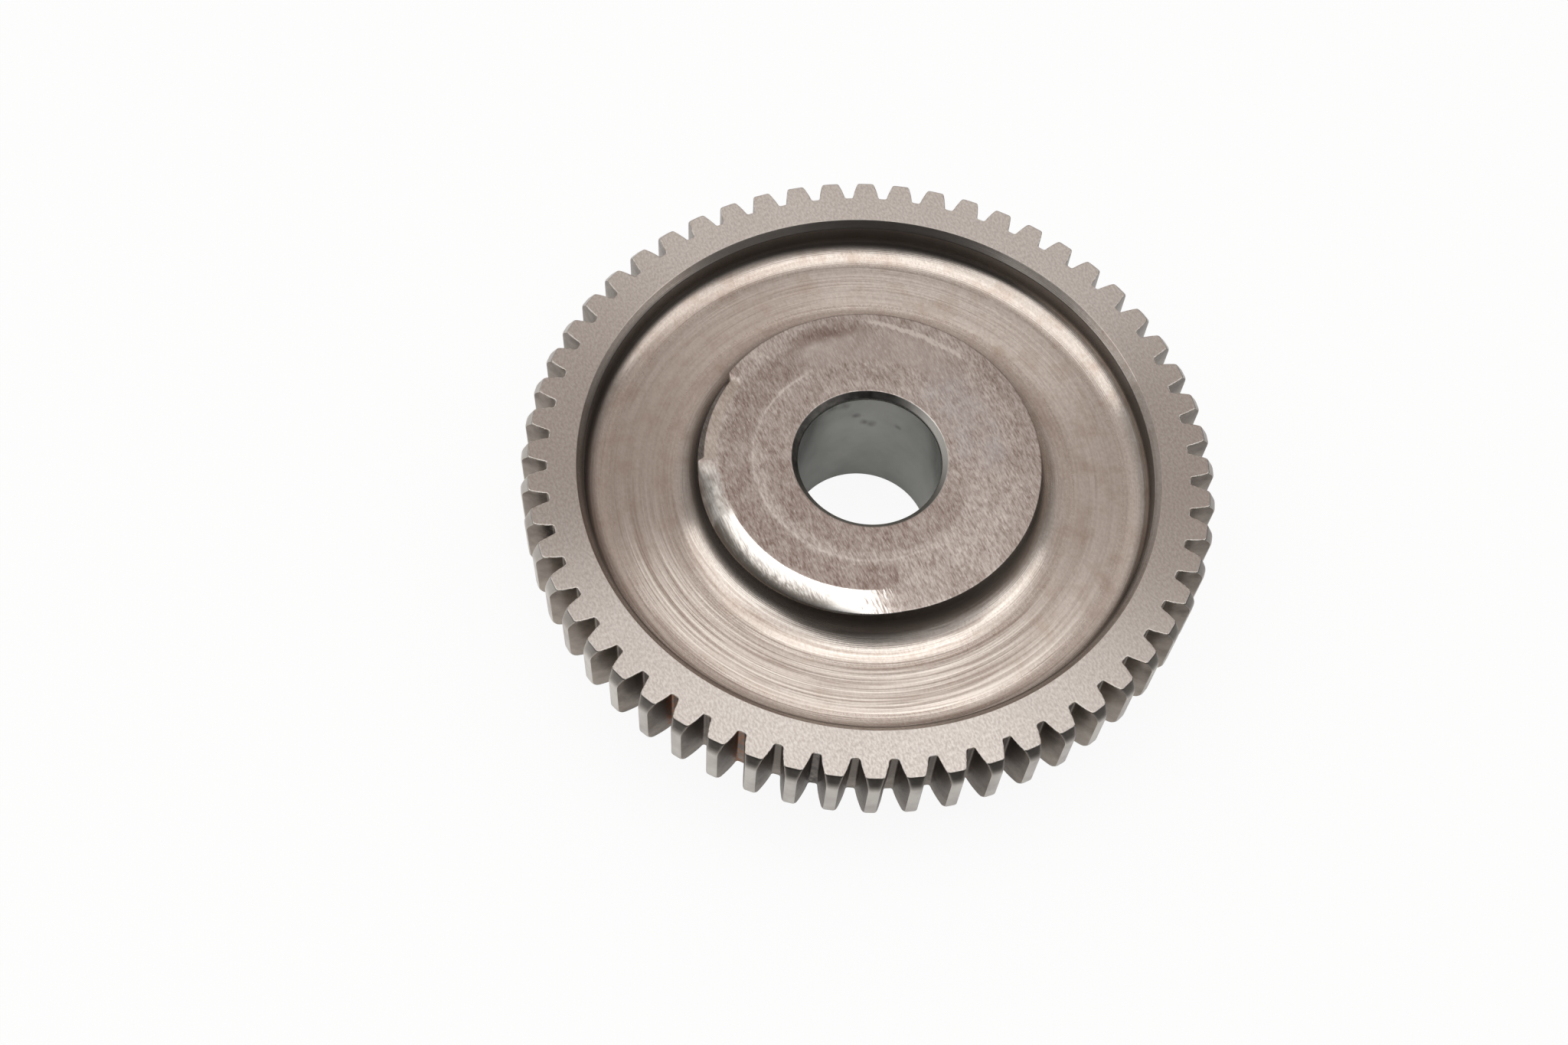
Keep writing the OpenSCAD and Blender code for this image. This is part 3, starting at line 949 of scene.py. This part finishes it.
def hobbed_flank_steel(node, c):
    """Steel flanks, hobbed and run in: satin with a thin brown oil film, and dirt in a few roots."""
    fine = grain_noise(node, 0.25, 1.0)
    film = node("MapRange", patch_noise(node, 2.2), 0.3, 0.7)
    height = node("SeparateXYZ", node("TexCoord", out="Object"), out="Z")
    film = node("Mix", {"Factor": 0.6, "A": film, "B": node("MapRange", height, *FILM_HEIGHTS)})
    place = polar(node)
    # painted shade: the flanks in front are darker
    film_and_shade = node("Math.MULTIPLY_ADD", band(node, place[1], 230, 306, 8), 0.5, film)
    base = coats(node, c.flank, (film_and_shade, c.flank_dark))
    spots = patch_noise(node, 0.9)
    for gaps, tint, low, reach in (
        (RUSTY_GAPS, c.rust, 0.44, 41.0), (GRIMY_GAPS, c.grime, 0.42, 41.3)
    ):
        spotted = node("MapRange", spots, low, low + 0.12)
        for gap in gaps:
            angles = (gap - DIRT_ANGLE, gap + DIRT_ANGLE)
            here = face_mark(node, place, (DIRT_START, reach), angles, 0.4, 0.6)
            base = coats(node, base, (node("Math.MULTIPLY", here, spotted), tint))
    rough = node("MapRange", fine, 0.3, 0.7, 0.28, 0.38)
    return base, rough, bumps(node, (fine, 0.006))


def burred_edge_steel(node, c):
    """Steel edges of the teeth, with a fine burr left by the hob: broken bright lines, partly a painted
    highlight along the edges.
    """
    burr = patch_noise(node, 0.5, 2)
    base = coats(node, c.flank, (node("MapRange", burr, 0.40, 0.60), c.ground))
    rough = node("MapRange", burr, 0.40, 0.60, 0.35, 0.60)
    return base, rough, bumps(node, (burr, 0.05))


def turned_tip_steel(node, c):
    """Steel tips and bevels, turned before the teeth were cut: clean, with faint rings."""
    rings = ring_noise(node, 0.25, 3)
    fine = grain_noise(node, 0.25, 1.5)
    patches = node("MapRange", patch_noise(node, 4), 0.4, 0.8)
    height = node("SeparateXYZ", node("TexCoord", out="Object"), out="Z")
    _, around = polar(node)
    # painted shade dims the tips in front and, more, the bevels there; the bevels elsewhere keep a lighter
    # film
    film = node("Math.MULTIPLY", band(node, around, 238, 290, 12), 0.25)
    dark = node("MapRange", band(node, around, 226, 345, 15), 0, 1, 0.4, 0.95)
    bevel = node("Math.MULTIPLY", node("MapRange", height, *TIP_BEVEL_HEIGHTS), dark)
    base = coats(node, c.tip, (patches, c.rim_dark), (film, c.tip_bevel), (bevel, c.tip_bevel))
    rough = node("MapRange", fine, 0.3, 0.7, 0.28, 0.36)
    return base, rough, bumps(node, (rings, 0.004), (fine, 0.004))


# Materials in the order of their slots: name and finish
FINISHES = (
    ("face_turned_rim_steel", turned_rim_steel),
    ("turned_web_steel", turned_web_steel),
    ("worn_hub_face_steel", worn_hub_steel),
    ("honed_bore_steel", honed_bore_steel),
    ("hobbed_flank_steel", hobbed_flank_steel),
    ("turned_tip_steel", turned_tip_steel),
    ("turned_back_steel", turned_tip_steel),
    ("burred_edge_steel", burred_edge_steel),
)


class GEAR_OT_body(bpy.types.Operator):
    """Build the gear's surface and its steel finishes"""

    bl_idname = "gear.body"
    bl_label = "Gear body"

    def execute(self, context):
        scene = context.scene
        s = millimetres(scene.gear_sizes, scene.gear_marks)
        s.teeth = int(round(s.teeth))
        points, corners, sides, finishes, shares = gear_mesh(s)
        mesh = make_mesh("gear_surface", points, corners, sides, finishes)
        for name, share in zip(SHARES, shares):
            values = mesh.attributes.new(name, "FLOAT", "POINT").data
            values.foreach_set("value", share.astype(np.float32))
        for name, finish in FINISHES:
            material, node = start_material(name)
            bare_metal(node, *finish(node, scene.gear_colours))
            mesh.materials.append(material)
        body = bpy.data.objects.new("gear_surface", mesh)
        scene.collection.objects.link(body)
        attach(body, "root")
        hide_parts(NODE)
        return {"FINISHED"}


# The photograph's camera, fitted to the gear: place in millimetres over the middle of the rim face,
# tilt of the view under the horizon, roll, turn about +Z and focal length for a 36 mm wide picture
CAMERA_PLACE = (-4.358, -125.858, 215.523)
CAMERA_TILT = math.radians(61.84)
CAMERA_ROLL = math.radians(4.734)
CAMERA_TURN = math.radians(2.587)
CAMERA_LENS = 45.913
CAMERA_SENSOR = 36.0


def photo_camera(top):
    """The photograph's camera, at its place over the rim face: tilted down, rolled, then turned."""
    right = Vector((1, 0, 0))
    down = Vector((0, -math.sin(CAMERA_TILT), -math.cos(CAMERA_TILT)))
    ahead = Vector((0, math.cos(CAMERA_TILT), -math.sin(CAMERA_TILT)))
    rolled_right = math.cos(CAMERA_ROLL) * right - math.sin(CAMERA_ROLL) * down
    rolled_down = math.sin(CAMERA_ROLL) * right + math.cos(CAMERA_ROLL) * down
    spin = Matrix.Rotation(CAMERA_TURN, 3, "Z")
    axes = Matrix((spin @ rolled_right, spin @ -rolled_down, spin @ -ahead)).transposed().to_4x4()
    lens = bpy.data.cameras.new("photo_camera")
    lens.sensor_fit = "HORIZONTAL"
    lens.sensor_width = CAMERA_SENSOR
    lens.lens = CAMERA_LENS
    lens.clip_start, lens.clip_end = 0.01, 20
    camera = bpy.data.objects.new("photo_camera", lens)
    camera.matrix_world = Matrix.Translation(Vector((0, 0, top)) + Vector(CAMERA_PLACE) * MM) @ axes
    return camera


# Soft boxes: name, place and size in metres, brightness
SOFT_BOXES = (
    ("soft_box_above", (0.047, 0.016, 0.75), (0.56, 0.37), 1.9),
    ("soft_box_left", (-0.36, -0.15, 0.64), (0.67, 0.59), 1.40),
    ("soft_box_right", (0.46, 0.03, 0.65), (0.37, 0.47), 1.48),
)


def soft_box(name, place, size, brightness):
    """A rectangular lamp that faces the origin; its power is brightness times pi times its area."""
    lamp = bpy.data.lights.new(name, "AREA")
    lamp.shape = "RECTANGLE"
    lamp.size, lamp.size_y = size
    lamp.energy = brightness * math.pi * size[0] * size[1]
    box = bpy.data.objects.new(name, lamp)
    box.location = place
    box.rotation_euler = (-Vector(place)).to_track_quat("-Z", "Y").to_euler()
    return box


# Half the side of the floor, in metres
FLOOR_HALF = 3.0
# Share of plain white in the floor as the camera sees it, and as the steel mirrors it: in the open,
# under the bore, and where the floor is dim
CAMERA_WHITE = 0.92
GLOSSY_WHITE = 0.6
BORE_WHITE = 0.06
DIM_WHITE = 0.06
# The floor is bright near this place in metres and dims away from it, as the steel mirrors it
BRIGHT_PLACE = (-0.12, 0.06, 0)
BRIGHT_REACH = (0.15, 0.32)
# Distances from the axis, in metres, where the gear's shade on the floor ends under its bore and outside
SHADE_INSIDE = (0.010, 0.007)
SHADE_OUTSIDE = (0.02, 0.05)
PLAIN_WHITE = (1, 1, 1, 1)


def floor_paper(c):
    """White paper: near pure white to the camera, and shaded by the gear where the steel mirrors it."""
    material, node = start_material("studio_floor_paper")
    glossy = node("LightPath", out="Is Glossy Ray")
    place = node("TexCoord", out="Object")
    away = node("VectorMath.DISTANCE", place, BRIGHT_PLACE, out="Value")
    from_axis = node("VectorMath.LENGTH", place, out="Value")
    # painted light and painted shade: the glow that the steel mirrors is brightest near BRIGHT_PLACE and
    # taken away under the gear
    under_bore = node("MapRange", from_axis, *SHADE_INSIDE, 0, BORE_WHITE)
    outside = node("MapRange", from_axis, *SHADE_OUTSIDE, 0, GLOSSY_WHITE)
    mirrored = node("Math.MULTIPLY", glossy, node("Math.ADD", under_bore, outside))
    white = node("Math.MULTIPLY_ADD", node("LightPath", out="Is Camera Ray"), CAMERA_WHITE, mirrored)
    paper = node("BsdfDiffuse", {"Color": (*c.floor, 1)})
    bright = node("MixShader", white, paper, node("Emission", PLAIN_WHITE, 1.0))
    dim = node("Math.MULTIPLY", glossy, node("MapRange", away, *BRIGHT_REACH))
    node("OutputMaterial", node("MixShader", dim, bright, node("Emission", PLAIN_WHITE, DIM_WHITE)))
    return material


# Plain light of the room, and its soft glows behind the gear and on both sides: direction, angles from
# it at which the glow is full and gone, colour and strength
ROOM_LIGHT = 0.045
ROOM_GLOWS = (
    ((0, 0.95, 0.80), 5, 56, "#FFF1EA", 0.55),
    ((-0.90, 0.28, 0.54), 12, 60, "#FFFFFF", 0.44),
    ((0.90, -0.05, 0.90), 12, 54, "#FFFFFF", 0.40),
)


def studio_room():
    """The world: a dim room with soft round glows, which the camera sees as plain white."""
    world = bpy.data.worlds.new("studio_room")
    node = start_nodes(world)
    way = node("TexCoord", out="Generated")
    room = (ROOM_LIGHT,) * 3
    for axis, inner, outer, tint, strength in ROOM_GLOWS:
        near = node("VectorMath.DOT_PRODUCT", way, Vector(axis).normalized(), out="Value")
        full, gone = math.cos(math.radians(inner)), math.cos(math.radians(outer))
        glow = node("MapRange", near, gone, full, 0.0, strength, interpolation_type="SMOOTHSTEP")
        room = node("VectorMath.MULTIPLY_ADD", glow, linear(tint), room)
    seen = node("LightPath", out="Is Camera Ray")
    node("OutputWorld", node("Background", coats(node, room, (seen, (1, 1, 1))), 1.0))
    return world


class GEAR_OT_stage(bpy.types.Operator):
    """Build the pale floor, the studio light and the photograph's camera"""

    bl_idname = "gear.stage"
    bl_label = "Stage"

    def execute(self, context):
        scene = context.scene
        mesh = bpy.data.meshes.new("studio_floor")
        corners = [(x * FLOOR_HALF, y * FLOOR_HALF, 0) for x, y in ((-1, -1), (1, -1), (1, 1), (-1, 1))]
        mesh.from_pydata(corners, [], [(0, 1, 2, 3)])
        mesh.materials.append(floor_paper(scene.gear_colours))
        floor = bpy.data.objects.new("studio_floor", mesh)
        scene.collection.objects.link(floor)
        scene.world = studio_room()
        for box in SOFT_BOXES:
            scene.collection.objects.link(soft_box(*box))
        camera = photo_camera(scene.gear_sizes.top)
        scene.collection.objects.link(camera)
        scene.camera = camera
        scene.view_settings.view_transform = "Standard"
        return {"FINISHED"}


class GEAR_PT_panel(bpy.types.Panel):
    """Buttons that build the gear's body and its stage"""

    bl_idname = "GEAR_PT_panel"
    bl_label = "Starter gear"
    bl_space_type = "VIEW_3D"
    bl_region_type = "UI"
    bl_category = "Gear"

    def draw(self, context):
        self.layout.operator(GEAR_OT_body.bl_idname)
        self.layout.operator(GEAR_OT_stage.bl_idname)


GROUPS = {"gear_sizes": GearSizes, "gear_marks": HubMarks, "gear_colours": GearColours}
CLASSES = (*GROUPS.values(), GEAR_OT_body, GEAR_OT_stage, GEAR_PT_panel)


def register():
    for cls in CLASSES:
        bpy.utils.register_class(cls)
    for name, group in GROUPS.items():
        setattr(bpy.types.Scene, name, bpy.props.PointerProperty(type=group))


def unregister():
    for name in GROUPS:
        delattr(bpy.types.Scene, name)
    for cls in reversed(CLASSES):
        bpy.utils.unregister_class(cls)


def main():
    register()
    bpy.ops.gear.body()
    bpy.ops.gear.stage()


if __name__ == "__main__":
    main()
